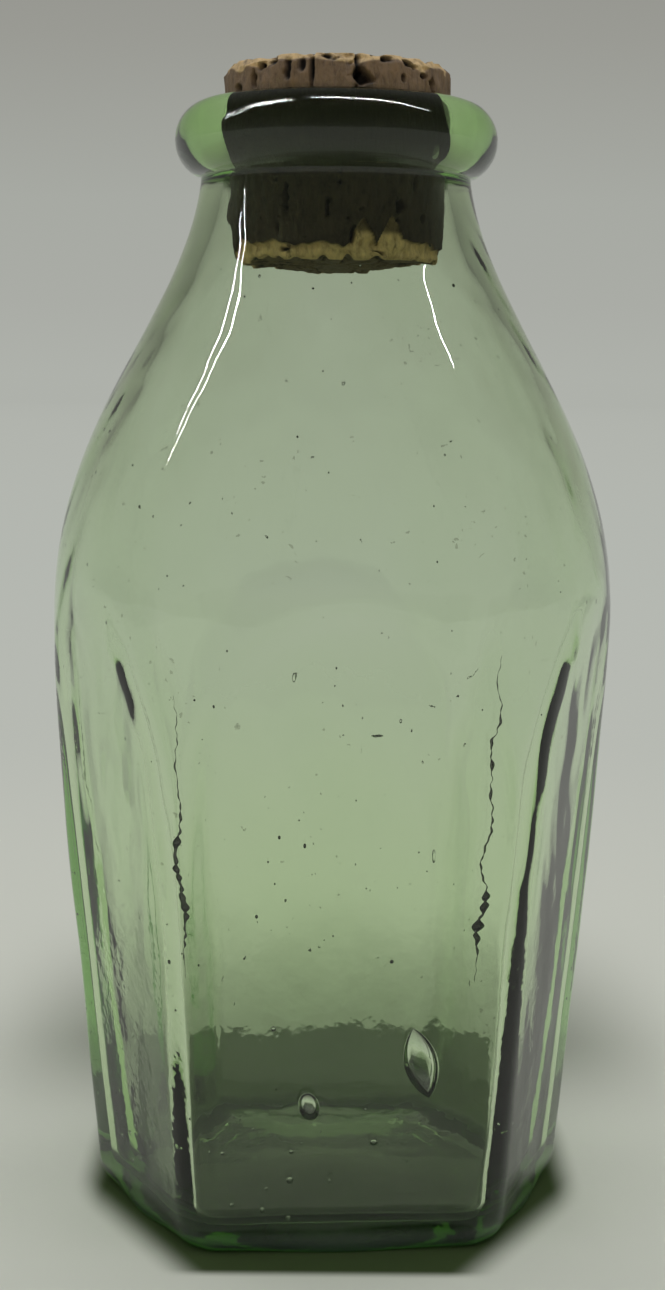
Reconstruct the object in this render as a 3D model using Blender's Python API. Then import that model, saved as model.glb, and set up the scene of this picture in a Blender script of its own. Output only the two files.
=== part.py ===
"""Green glass snuff bottle with a cork stopper.

The glass was blown into a six-sided mould. Six tapered panels rise from a pushed-up base, with round ribs
between them, and end in arches under a round shoulder. A short flared neck ends in a heavy ring lip. The body
is hollow and the neck is open. The cork is a tapered plug that slides out along the bottle's own axis.

The origin is on the surface that the bottle stands on, on its axis. The front panel faces -Y.
"""

import math

import bmesh
import bpy

MM = 0.001

# Glass: overall form
GLASS_HEIGHT = 115.0 * MM
BODY_RADIUS = 29.45 * MM
SHOULDER_HEIGHT = 62.0 * MM
NECK_TOP_BELOW_MOUTH = 4.8 * MM
SHOULDER_FULL_SHARE = 0.463
NECK_FLARE_SHARE = 0.319

# Glass: round ribs and the six panels cut into them
FOOT_RADIUS = 24.9 * MM
TAPER_HEIGHT = 47.2 * MM
TAPER_SOFTNESS = 1.5 * MM
PANEL_REACH_AT_BASE = 23.3 * MM
PANEL_REACH_AT_SHOULDER = 28.29 * MM
ARCH_RUNOUT = 1.0 * MM
ARCH_START_SHARE = 0.87
ARCH_LENGTH_SHARE = 0.21
ARCH_SOFTNESS = 0.5 * MM
HEEL_HEIGHT_AT_PANEL = 4.6 * MM
HEEL_HEIGHT_AT_RIB = 3.2 * MM
HEEL_DEPTH_AT_PANEL = 1.8 * MM
HEEL_DEPTH_AT_RIB = 1.4 * MM

# Glass: mouth and lip
BORE_RADIUS = 11.75 * MM
NECK_WALL = 1.98 * MM
LIP_HEIGHT = 7.7 * MM
LIP_PROJECTION = 2.92 * MM
LIP_CREST = 1.45 * MM
LIP_FALL = 1.2 * MM

# Glass: walls and base
WALL_AT_LIP = 2.2 * MM
WALL_AT_SHOULDER = 1.9 * MM
WALL_GAIN_AT_BASE = 4.2 * MM
RIB_WALL_GAIN = 0.6 * MM
INNER_EDGE_SOFTNESS = 6.0 * MM
LEAST_SOFTNESS_SHARE = 0.1
INNER_HEEL = 2.0 * MM
BASE_THICKNESS = 2.2 * MM
RESTING_RING_WIDTH = 3.4 * MM
PUSH_UP = 2.5 * MM

# Cork
CORK_LENGTH = 20.1 * MM
CORK_STAND = 3.5 * MM
CORK_CLEARANCE = 0.3 * MM
CORK_TAPER = 0.45 * MM
CORK_BULGE = 0.45 * MM
CORK_RIM_BEVEL = 0.9 * MM
CORK_TOE_BEVEL = 0.6 * MM

# How finely the surfaces are divided
PANEL_SHARES = (0.0, 0.36, 0.7, 1.0)
RIB_SHARES = (0.5, 1.0)
NARROWEST_EDGE = math.radians(12)
ROUND_EDGE = math.radians(18)
PANEL_LEVELS = 5
ARCH_LEVELS = 8
SHOULDER_LEVELS = 19
CURVE_HALVINGS = 30
LIP_STEPS = 10
LIP_EDGE_STEPS = 3
HEEL_STEPS = 4
FLOOR_SHARES = (0.86, 0.66, 0.44, 0.22)
CORK_SEGMENTS = 48
FINE_LEVELS_SHARE = 0.62

PANEL_COUNT = 6
SHARP_ANGLE = math.radians(35)
QUARTER = math.pi / 2
SIDE = 2 * math.pi / PANEL_COUNT


def soft_min(first, second, softness):
    """Smaller of two lengths, with the step from one to the other rounded over a given width."""
    overlap = max(softness - abs(first - second), 0.0) / softness
    return min(first, second) - overlap * overlap * softness / 4


def shoulder_point(share):
    """Height and radius at a share of the curve that sweeps from the widest level in to the neck."""
    neck_top = GLASS_HEIGHT - NECK_TOP_BELOW_MOUTH
    rise = neck_top - SHOULDER_HEIGHT
    rest = 1.0 - share
    weights = (rest ** 3, 3 * rest ** 2 * share, 3 * rest * share ** 2, share ** 3)
    heights = (
        SHOULDER_HEIGHT,
        SHOULDER_HEIGHT + SHOULDER_FULL_SHARE * rise,
        neck_top - NECK_FLARE_SHARE * rise,
        neck_top,
    )
    height = sum(weight * level for weight, level in zip(weights, heights))
    wide = weights[0] + weights[1]
    return height, wide * BODY_RADIUS + (1.0 - wide) * (BORE_RADIUS + NECK_WALL)


def shoulder_radius(height):
    """Radius of the sweep from the widest level in to the neck, at a height."""
    low, high = 0.0, 1.0
    for _ in range(CURVE_HALVINGS):
        middle = (low + high) / 2
        if shoulder_point(middle)[0] < height:
            low = middle
        else:
            high = middle
    return shoulder_point(high)[1]


def round_radius(height):
    """Radius of the round outline at a height: a slow cone through the ribs, then the shoulder."""
    cone = FOOT_RADIUS + (BODY_RADIUS - FOOT_RADIUS) * height / TAPER_HEIGHT
    return soft_min(cone, shoulder_radius(max(height, SHOULDER_HEIGHT)), TAPER_SOFTNESS)


def panel_reach(height):
    """Distance from the axis to a panel. It leans out, and curves out at its top to end in an arch."""
    share = height / SHOULDER_HEIGHT
    runout = ARCH_RUNOUT * (max(share - ARCH_START_SHARE, 0.0) / ARCH_LENGTH_SHARE) ** 2
    return PANEL_REACH_AT_BASE + (PANEL_REACH_AT_SHOULDER - PANEL_REACH_AT_BASE) * share + runout


def rest_below_shoulder(height):
    """Share of the straight part that is still above a level: one at the base and zero at the shoulder."""
    return min(max(1.0 - height / SHOULDER_HEIGHT, 0.0), 1.0)


def share_over_shoulder(height):
    """Share of the way from the shoulder up to the mouth, from zero to one."""
    return min(max((height - SHOULDER_HEIGHT) / (GLASS_HEIGHT - SHOULDER_HEIGHT), 0.0), 1.0)


def wall_at(height):
    """Thickness of the wall. It thins from the lip to the shoulder and is thickest at the base."""
    crease = GLASS_HEIGHT - LIP_HEIGHT
    share = min(max((height - SHOULDER_HEIGHT) / (crease - SHOULDER_HEIGHT), 0.0), 1.0)
    gain = WALL_GAIN_AT_BASE * rest_below_shoulder(height) ** 0.85
    return WALL_AT_SHOULDER + (WALL_AT_LIP - WALL_AT_SHOULDER) * share + gain


def panel_edge(height):
    """Direction of a panel's edge from its middle. Over the shoulder it runs on to an even division."""
    narrowest = NARROWEST_EDGE + (ROUND_EDGE - NARROWEST_EDGE) * share_over_shoulder(height)
    return max(math.acos(min(panel_reach(height) / round_radius(height), 1.0)), narrowest)


def section_angles(height):
    """Directions of a level's points, gathered at the edges between panels and ribs."""
    edge = panel_edge(height)
    rising = [edge * share for share in PANEL_SHARES]
    rising += [edge + (SIDE / 2 - edge) * share for share in RIB_SHARES]
    one_side = [-angle for angle in reversed(rising[1:-1])] + rising
    return [side * SIDE - QUARTER + angle for side in range(PANEL_COUNT) for angle in one_side]


def from_panel_centre(angle):
    """Angle between a direction and the middle of the nearest panel."""
    return abs((angle + QUARTER + SIDE / 2) % SIDE - SIDE / 2)


def outer_reach(height, angle):
    """Distance from the axis to the outer face of the glass below the lip."""
    panel = panel_reach(height) / math.cos(from_panel_centre(angle))
    return soft_min(panel, round_radius(height), ARCH_SOFTNESS)


def inner_reach(height, angle):
    """Distance from the axis to the inner face. It is softer than the outside, so the ribs are thick."""
    rest = rest_below_shoulder(height)
    wall = wall_at(height)
    panel = (panel_reach(height) - wall) / math.cos(from_panel_centre(angle))
    hollow = max(round_radius(height) - wall - RIB_WALL_GAIN * rest, BORE_RADIUS)
    return soft_min(panel, hollow, INNER_EDGE_SOFTNESS * max(rest, LEAST_SOFTNESS_SHARE))


def heel_at(angle):
    """Height and depth of the rounding between the sides and the underside, smallest at the ribs."""
    turn = from_panel_centre(angle) / (SIDE / 2)
    share = turn * turn * (3.0 - 2.0 * turn)
    height = HEEL_HEIGHT_AT_PANEL + (HEEL_HEIGHT_AT_RIB - HEEL_HEIGHT_AT_PANEL) * share
    depth = HEEL_DEPTH_AT_PANEL + (HEEL_DEPTH_AT_RIB - HEEL_DEPTH_AT_PANEL) * share
    return height, depth


def standing_edge(angle):
    """Distance from the axis to the outer edge of the flat ring that the bottle stands on."""
    height, depth = heel_at(angle)
    return outer_reach(height, angle) - depth


def ring(reaches, angles, heights):
    """Points of one closed ring from its reach, direction and height at each point."""
    return [
        (reach * math.cos(angle), reach * math.sin(angle), height)
        for reach, angle, height in zip(reaches, angles, heights)
    ]


def level_ring(reach_at, height):
    """One level ring of a face given by a function of height and direction."""
    angles = section_angles(height)
    reaches = [reach_at(height, angle) for angle in angles]
    return ring(reaches, angles, [height] * len(angles))


def underside_rings():
    """Rings from the middle of the push-up out to the edge of the flat ring that the bottle stands on."""
    angles = section_angles(HEEL_HEIGHT_AT_PANEL)
    ring_edge = [standing_edge(angle) for angle in angles]
    hollow_edge = [reach - RESTING_RING_WIDTH for reach in ring_edge]
    rings = []
    for share in reversed(FLOOR_SHARES):
        rings.append(ring(drawn_in(hollow_edge, share), angles, [push_up_at(share)] * len(angles)))
    rings.append(ring(hollow_edge, angles, [0.0] * len(angles)))
    rings.append(ring(ring_edge, angles, [0.0] * len(angles)))
    return rings


def push_up_at(share):
    """Height of the underside's hollow at a share of the way out from its middle."""
    return PUSH_UP * math.cos(QUARTER * share) ** 1.5


def drawn_in(reaches, share):
    """Reaches of a ring at a share of the way out to an edge ring. It grows rounder towards the middle."""
    circle = min(reaches)
    return [share * (circle + (reach - circle) * share) for reach in reaches]


def heel_rings():
    """Rings round the heel, from the standing ring up to where the sides begin."""
    angles = section_angles(HEEL_HEIGHT_AT_PANEL)
    rings = []
    for step in range(1, HEEL_STEPS + 1):
        turn = QUARTER * step / HEEL_STEPS
        heights = [heel_at(angle)[0] * (1.0 - math.cos(turn)) for angle in angles]
        reaches = [standing_edge(angle) + heel_at(angle)[1] * math.sin(turn) for angle in angles]
        rings.append(ring(reaches, angles, heights))
    return rings


def body_levels(lowest):
    """Heights of the rings from just above a lowest level up through the panels to the shoulder."""
    arch_start = SHOULDER_HEIGHT * FINE_LEVELS_SHARE
    levels = [lowest + (arch_start - lowest) * step / PANEL_LEVELS for step in range(1, PANEL_LEVELS + 1)]
    levels += [
        arch_start + (SHOULDER_HEIGHT - arch_start) * step / ARCH_LEVELS
        for step in range(1, ARCH_LEVELS + 1)
    ]
    return levels


def shoulder_levels(top):
    """Heights of the rings from just above the shoulder's start up to just under a top level."""
    levels = [shoulder_point(step / SHOULDER_LEVELS)[0] for step in range(1, SHOULDER_LEVELS + 1)]
    return [level for level in levels if level < top]


def lip_rings():
    """Rings over the lip, from the crease under it, round its outer face, to the bore."""
    crest_radius = BORE_RADIUS + LIP_CREST
    half_height = LIP_HEIGHT / 2
    middle = GLASS_HEIGHT - half_height
    half_width = BORE_RADIUS + NECK_WALL + LIP_PROJECTION - crest_radius
    crease_turn = -math.acos((round_radius(GLASS_HEIGHT - LIP_HEIGHT) - crest_radius) / half_width)
    profile = []
    for step in range(LIP_STEPS + 1):
        turn = crease_turn + (QUARTER - crease_turn) * step / LIP_STEPS
        profile.append((crest_radius + half_width * math.cos(turn), middle + half_height * math.sin(turn)))
    for step in range(1, LIP_EDGE_STEPS + 1):
        turn = QUARTER * step / LIP_EDGE_STEPS
        height = GLASS_HEIGHT - LIP_FALL * (1.0 - math.cos(turn))
        profile.append((crest_radius - LIP_CREST * math.sin(turn), height))
    angles = section_angles(GLASS_HEIGHT)
    return [ring([radius] * len(angles), angles, [height] * len(angles)) for radius, height in profile]


def inner_floor_rings():
    """Rings from the foot of the inner wall to near the middle of the floor, over the push-up."""
    angles = section_angles(BASE_THICKNESS)
    foot = [inner_reach(BASE_THICKNESS + INNER_HEEL, angle) for angle in angles]
    rings = []
    for step in range(1, HEEL_STEPS + 1):
        turn = QUARTER * step / HEEL_STEPS
        height = BASE_THICKNESS + INNER_HEEL * (1.0 - math.sin(turn))
        inset = INNER_HEEL * (1.0 - math.cos(turn))
        rings.append(ring([reach - inset for reach in foot], angles, [height] * len(angles)))
    edge = [reach - INNER_HEEL for reach in foot]
    for share in FLOOR_SHARES:
        height = BASE_THICKNESS + push_up_at(share)
        rings.append(ring(drawn_in(edge, share), angles, [height] * len(angles)))
    return rings


def glass_rings():
    """All rings of the glass in order: underside, heel, sides, lip, bore, inner wall, inner floor."""
    crease = GLASS_HEIGHT - LIP_HEIGHT
    outer_levels = body_levels(HEEL_HEIGHT_AT_PANEL) + shoulder_levels(crease)
    inner_levels = body_levels(BASE_THICKNESS + INNER_HEEL) + shoulder_levels(GLASS_HEIGHT - LIP_FALL)
    rings = underside_rings() + heel_rings()
    rings += [level_ring(outer_reach, height) for height in outer_levels]
    rings += lip_rings()
    rings += [level_ring(inner_reach, height) for height in reversed(inner_levels)]
    rings.append(level_ring(inner_reach, BASE_THICKNESS + INNER_HEEL))
    return rings + inner_floor_rings()


def skin(rings, first_centre, last_centre):
    """Closed mesh through a row of rings, ended by a fan of faces round a point at each end."""
    mesh = bmesh.new()
    rows = [[mesh.verts.new(point) for point in points] for points in rings]
    for lower, upper in zip(rows, rows[1:]):
        for index in range(len(lower)):
            after = (index + 1) % len(lower)
            mesh.faces.new((lower[index], lower[after], upper[after], upper[index]))
    for row, centre in ((rows[0], first_centre), (rows[-1], last_centre)):
        tip = mesh.verts.new(centre)
        for index in range(len(row)):
            mesh.faces.new((tip, row[index], row[(index + 1) % len(row)]))
    bmesh.ops.recalc_face_normals(mesh, faces=mesh.faces)
    return mesh


def finish(name, base_color, roughness, transmission=0.0):
    """Material with one plain Principled surface."""
    material = bpy.data.materials.new(name)
    material.use_nodes = True
    surface = material.node_tree.nodes["Principled BSDF"]
    surface.inputs["Base Color"].default_value = (*base_color, 1.0)
    surface.inputs["Roughness"].default_value = roughness
    surface.inputs["Metallic"].default_value = 0.0
    surface.inputs["Transmission Weight"].default_value = transmission
    return material


def place(name, mesh, material, location=(0.0, 0.0, 0.0)):
    """Object made from a mesh, shaded smooth with its real edges kept."""
    data = bpy.data.meshes.new(name)
    mesh.to_mesh(data)
    mesh.free()
    data.materials.append(material)
    data.shade_smooth()
    data.set_sharp_from_angle(angle=SHARP_ANGLE)
    piece = bpy.data.objects.new(name, data)
    piece.location = location
    bpy.context.scene.collection.objects.link(piece)
    return piece


def build_glass():
    """The bottle itself: body, neck and lip are one piece of glass."""
    material = finish("green_glass", (0.42, 0.56, 0.30), 0.05, transmission=0.9)
    mesh = skin(glass_rings(), (0.0, 0.0, PUSH_UP), (0.0, 0.0, BASE_THICKNESS + PUSH_UP))
    return place("glass_bottle", mesh, material)


def cork_profile():
    """Radius and height of the plug, from its foot to its top, with the foot at height zero."""
    seated_radius = BORE_RADIUS - CORK_CLEARANCE
    foot_radius = seated_radius - CORK_TAPER
    crown_radius = seated_radius + CORK_BULGE
    seat_top = CORK_LENGTH - CORK_STAND - LIP_FALL
    crown_bottom = CORK_LENGTH - CORK_STAND + CORK_BULGE
    return [
        (foot_radius - CORK_TOE_BEVEL, 0.0),
        (foot_radius, CORK_TOE_BEVEL),
        (seated_radius, seat_top),
        (crown_radius, crown_bottom),
        (crown_radius, CORK_LENGTH - CORK_RIM_BEVEL),
        (crown_radius - CORK_RIM_BEVEL, CORK_LENGTH),
    ]


def build_cork():
    """The stopper: a plug that narrows downward and bulges a little where it stands out of the mouth."""
    angles = [2 * math.pi * index / CORK_SEGMENTS for index in range(CORK_SEGMENTS)]
    rings = [
        ring([radius] * CORK_SEGMENTS, angles, [height] * CORK_SEGMENTS)
        for radius, height in cork_profile()
    ]
    mesh = skin(rings, (0.0, 0.0, 0.0), (0.0, 0.0, CORK_LENGTH))
    material = finish("cork", (0.42, 0.28, 0.14), 0.85)
    foot = GLASS_HEIGHT + CORK_STAND - CORK_LENGTH
    return place("cork_stopper", mesh, material, location=(0.0, 0.0, foot))


def clear_scene():
    """Remove every object of the open scene."""
    for item in list(bpy.data.objects):
        bpy.data.objects.remove(item, do_unlink=True)


clear_scene()
build_glass()
build_cork()
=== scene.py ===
"""Looks of a green glass snuff bottle with a cork stopper.

The glass is one closed skin with an uneven, blown surface, seeds and blisters inside its walls, and a colour
that deepens with the thickness of the glass. The cork is pitted, chipped at its rim and broken at its foot.
"""

import logging
import math
from dataclasses import dataclass, field
from enum import Enum

import bpy
import numpy as np
from mathutils import Euler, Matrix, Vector

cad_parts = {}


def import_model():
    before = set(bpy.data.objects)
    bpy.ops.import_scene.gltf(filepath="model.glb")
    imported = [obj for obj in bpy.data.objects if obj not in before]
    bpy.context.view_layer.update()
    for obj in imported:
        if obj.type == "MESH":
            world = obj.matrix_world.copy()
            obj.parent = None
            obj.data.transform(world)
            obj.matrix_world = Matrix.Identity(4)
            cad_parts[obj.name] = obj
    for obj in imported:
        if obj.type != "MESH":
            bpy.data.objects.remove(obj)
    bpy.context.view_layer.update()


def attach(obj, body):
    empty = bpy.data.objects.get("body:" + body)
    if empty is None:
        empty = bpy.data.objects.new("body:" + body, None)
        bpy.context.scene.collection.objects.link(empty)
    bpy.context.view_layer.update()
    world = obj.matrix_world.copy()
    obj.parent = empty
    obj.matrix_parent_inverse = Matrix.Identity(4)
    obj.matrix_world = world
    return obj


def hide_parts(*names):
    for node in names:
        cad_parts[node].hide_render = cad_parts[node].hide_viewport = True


MM = 0.001
QUARTER = math.pi / 2
TURN = 2 * math.pi
PHOTO_HEIGHT_PX = 1290

Colour = tuple[float, float, float]
Factors = tuple[float, float, float]
Span = tuple[float, float]
Stops = tuple[tuple[float, Colour], ...]
Ring = tuple[np.ndarray, np.ndarray]
Socket = bpy.types.NodeSocket

log = logging.getLogger("snuff_bottle")


class Slot(Enum):
    """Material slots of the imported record."""

    GLASS = "bottle_glass"
    CORK = "stopper_cork"


class Body(Enum):
    """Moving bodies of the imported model."""

    BOTTLE = "bottle"
    CORK = "cork"


def soft_min(first: np.ndarray, second: np.ndarray, softness: float) -> np.ndarray:
    """Smaller of two lengths, with the step from one to the other rounded.

    Args:
        first: Lengths in metres.
        second: Lengths to compare with them.
        softness: Width in metres over which the step is rounded.

    Returns:
        The softened smaller lengths.
    """
    overlap = np.maximum(softness - np.abs(first - second), 0.0) / softness
    return np.minimum(first, second) - overlap * overlap * softness / 4


def smooth_step(value: np.ndarray, low: float, high: float) -> np.ndarray:
    """Rise from 0 at low to 1 at high, level at both ends.

    Args:
        value: Values to map.
        low: Where the rise starts.
        high: Where it ends.

    Returns:
        Shares from 0 to 1.
    """
    share = np.clip((value - low) / (high - low), 0.0, 1.0)
    return share * share * (3.0 - 2.0 * share)


@dataclass(frozen=True)
class Ripples:
    """Smooth uneven relief, a sum of waves with seeded directions."""

    seed: int
    wavelength: float
    height: float
    stretch: Factors = (1.0, 1.0, 1.0)
    waves: int = 28
    length_spread: Span = (0.7, 1.6)

    def at(self, points: np.ndarray) -> np.ndarray:
        """Height of the relief at points.

        Args:
            points: Array of points in metres, with x, y and z last.

        Returns:
            Heights in metres, mostly within plus or minus the relief's height.
        """
        rng = np.random.default_rng(self.seed)
        directions = rng.normal(size=(self.waves, 3))
        directions /= np.linalg.norm(directions, axis=1, keepdims=True)
        lengths = self.wavelength * rng.uniform(*self.length_spread, self.waves)
        phases = rng.uniform(0.0, TURN, self.waves)
        scaled = points / np.array(self.stretch)
        total = np.zeros(points.shape[:-1])
        for direction, length, phase in zip(directions, lengths, phases):
            total += np.sin(scaled @ direction * (TURN / length) + phase)
        return total * self.height / math.sqrt(self.waves / 2)


@dataclass
class Skin:
    """Points and faces of a closed mesh that is gathered patch by patch."""

    points: list[np.ndarray] = field(default_factory=list)
    faces: list[tuple[int, ...]] = field(default_factory=list)
    count: int = 0

    def add_points(self, points: np.ndarray) -> int:
        """Add points and give the index of the first one.

        Args:
            points: Array of points, one a row.

        Returns:
            Index of the first added point.
        """
        first = self.count
        self.points.append(points)
        self.count += len(points)
        return first

    def add_rows(self, rows: np.ndarray, first_tip: np.ndarray, last_tip: np.ndarray) -> None:
        """Add a closed surface through rows of points, ended by a fan round a tip at each end.

        Args:
            rows: Array of rows by points by x, y and z. Each row is a closed ring.
            first_tip: Point inside the first ring.
            last_tip: Point inside the last ring.
        """
        row_count, ring_count = rows.shape[:2]
        start = self.add_points(rows.reshape(-1, 3))
        index = np.arange(row_count * ring_count).reshape(row_count, ring_count) + start
        after = np.roll(index, -1, axis=1)
        quads = np.stack([index[:-1], after[:-1], after[1:], index[1:]], axis=-1).reshape(-1, 4)
        tip = self.add_points(np.array([first_tip, last_tip]))
        first_fan = np.stack([np.full(ring_count, tip), after[0], index[0]], axis=-1)
        last_fan = np.stack([np.full(ring_count, tip + 1), index[-1], after[-1]], axis=-1)
        for group in (quads, first_fan, last_fan):
            self.faces.extend(map(tuple, group.tolist()))

    def build(self, name: str, material: bpy.types.Material) -> bpy.types.Object:
        """Make the mesh object, shaded smooth.

        Args:
            name: Name of the piece.
            material: Its finish.

        Returns:
            The new object, linked to the scene.
        """
        mesh = bpy.data.meshes.new(name)
        mesh.from_pydata(np.concatenate(self.points).tolist(), [], self.faces)
        mesh.materials.append(material)
        mesh.shade_smooth()
        mesh.update()
        piece = bpy.data.objects.new(name, mesh)
        bpy.context.scene.collection.objects.link(piece)
        return piece


def mark_points(piece: bpy.types.Object, name: str, values: np.ndarray) -> None:
    """Give each point of a piece a value, which its finish reads by name.

    Args:
        piece: The mesh object.
        name: Name of the values.
        values: One number for each point.
    """
    layer = piece.data.attributes.new(name, "FLOAT", "POINT")
    layer.data.foreach_set("value", values.astype(np.float32))


class Sheet:
    """A material's or world's node tree, with short calls for adding and joining nodes."""

    first_colour_input = 6
    second_colour_input = 7
    colour_output = 2

    def __init__(self, tree: bpy.types.NodeTree) -> None:
        """Empty the tree and keep it.

        Args:
            tree: Node tree to fill.
        """
        self.tree = tree
        tree.nodes.clear()

    def node(self, kind: str, **settings: object) -> bpy.types.Node:
        """Add a node.

        Args:
            kind: Blender's name of the node's type.
            settings: Properties of the node, such as its operation.

        Returns:
            The new node.
        """
        made = self.tree.nodes.new(kind)
        for key, value in settings.items():
            setattr(made, key, value)
        return made

    def join(self, source: Socket, target: Socket) -> None:
        """Link an output to an input."""
        self.tree.links.new(source, target)

    def feed(self, socket: Socket, value: object) -> None:
        """Set an input to a value, or link it where the value is an output.

        Args:
            socket: The input.
            value: Number, colour or output socket.
        """
        if isinstance(value, Socket):
            self.join(value, socket)
        elif isinstance(value, tuple) and socket.type == "RGBA":
            socket.default_value = (*value, 1.0)
        else:
            socket.default_value = value

    def math(self, operation: str, first: object, second: object = 0.0) -> Socket:
        """Add a math node on two values.

        Args:
            operation: Blender's name of the operation.
            first: Number or output.
            second: Number or output.

        Returns:
            Output of the node.
        """
        made = self.node("ShaderNodeMath", operation=operation)
        self.feed(made.inputs[0], first)
        self.feed(made.inputs[1], second)
        return made.outputs[0]

    def ramp(self, value: Socket, stops: Stops) -> Socket:
        """Colour ramp over a value.

        Args:
            value: Output that drives the ramp.
            stops: Places from 0 to 1 with their colours.

        Returns:
            The ramp's colour output.
        """
        made = self.node("ShaderNodeValToRGB")
        elements = made.color_ramp.elements
        while len(elements) > 1:
            elements.remove(elements[-1])
        elements[0].position = stops[0][0]
        elements[0].color = (*stops[0][1], 1.0)
        for place, colour in stops[1:]:
            elements.new(place).color = (*colour, 1.0)
        self.join(value, made.inputs["Fac"])
        return made.outputs["Color"]

    def blend(self, share: object, first: object, second: object, mode: str = "MIX") -> Socket:
        """Mix two colours.

        Args:
            share: How much of the second, a number or an output.
            first: Colour or output.
            second: Colour or output.
            mode: Blender's name of the way of mixing.

        Returns:
            Colour output.
        """
        made = self.node("ShaderNodeMix", data_type="RGBA", blend_type=mode)
        self.feed(made.inputs[0], share)
        self.feed(made.inputs[self.first_colour_input], first)
        self.feed(made.inputs[self.second_colour_input], second)
        return made.outputs[self.colour_output]

    def place(self) -> Socket:
        """Place on the object, in metres."""
        return self.node("ShaderNodeTexCoord").outputs["Object"]

    def parts(self, place: Socket) -> bpy.types.NodeOutputs:
        """Split a place into its parts.

        Args:
            place: Output that gives the place.

        Returns:
            Outputs named X, Y and Z.
        """
        made = self.node("ShaderNodeSeparateXYZ")
        self.join(place, made.inputs[0])
        return made.outputs

    def mark(self, name: str) -> Socket:
        """Value that the mesh's points carry under a name."""
        return self.node("ShaderNodeAttribute", attribute_name=name).outputs["Fac"]

    def seen(self) -> Socket:
        """Tell the rays that show a picture from those that light a surface.

        Returns:
            Output that is 1 for rays from the camera, and for glossy and transmitted ones, else 0.
        """
        path = self.node("ShaderNodeLightPath")
        bent = self.math("MAXIMUM", path.outputs["Is Glossy Ray"], path.outputs["Is Transmission Ray"])
        return self.math("MAXIMUM", bent, path.outputs["Is Camera Ray"])

    def stretched(self, place: Socket, factors: Factors) -> Socket:
        """Multiply each axis of a place, so that a pattern on it is stretched.

        Args:
            place: Output that gives the place.
            factors: Factors for x, y and z. A small one draws the pattern out.

        Returns:
            Output with the new place.
        """
        made = self.node("ShaderNodeVectorMath", operation="MULTIPLY")
        self.join(place, made.inputs[0])
        made.inputs[1].default_value = factors
        return made.outputs["Vector"]

    def rise(self, value: object, low: float, high: float, start: float, end: float) -> Socket:
        """Map a value from a range to another range, held at both ends.

        Args:
            value: Output to map.
            low: Value where the rise starts.
            high: Value where it ends.
            start: Result at low.
            end: Result at high.

        Returns:
            Output of the mapped value.
        """
        made = self.node("ShaderNodeMapRange", interpolation_type="SMOOTHSTEP")
        self.feed(made.inputs["Value"], value)
        made.inputs["From Min"].default_value = low
        made.inputs["From Max"].default_value = high
        made.inputs["To Min"].default_value = start
        made.inputs["To Max"].default_value = end
        return made.outputs["Result"]

    def bump(self, height: object, depth: float, normal: Socket | None = None) -> Socket:
        """Normal for a fine relief.

        Args:
            height: Output with the relief's height from 0 to 1.
            depth: Depth in metres of the whole relief.
            normal: Normal of a coarser relief under it.

        Returns:
            Normal output.
        """
        made = self.node("ShaderNodeBump")
        made.inputs["Distance"].default_value = depth
        self.feed(made.inputs["Height"], height)
        if normal is not None:
            self.join(normal, made.inputs["Normal"])
        return made.outputs["Normal"]

    def noise(self, place: Socket, scale: float, detail: float, rough: float = 0.5) -> Socket:
        """Noise value over a place.

        Args:
            place: Output that gives the place.
            scale: Lumps in a metre.
            detail: How many finer layers it has.
            rough: Strength of the finer layers.

        Returns:
            Output from about 0.2 to 0.8.
        """
        made = self.node("ShaderNodeTexNoise")
        self.join(place, made.inputs["Vector"])
        made.inputs["Scale"].default_value = scale
        made.inputs["Detail"].default_value = detail
        made.inputs["Roughness"].default_value = rough
        return made.outputs["Fac"]


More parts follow.
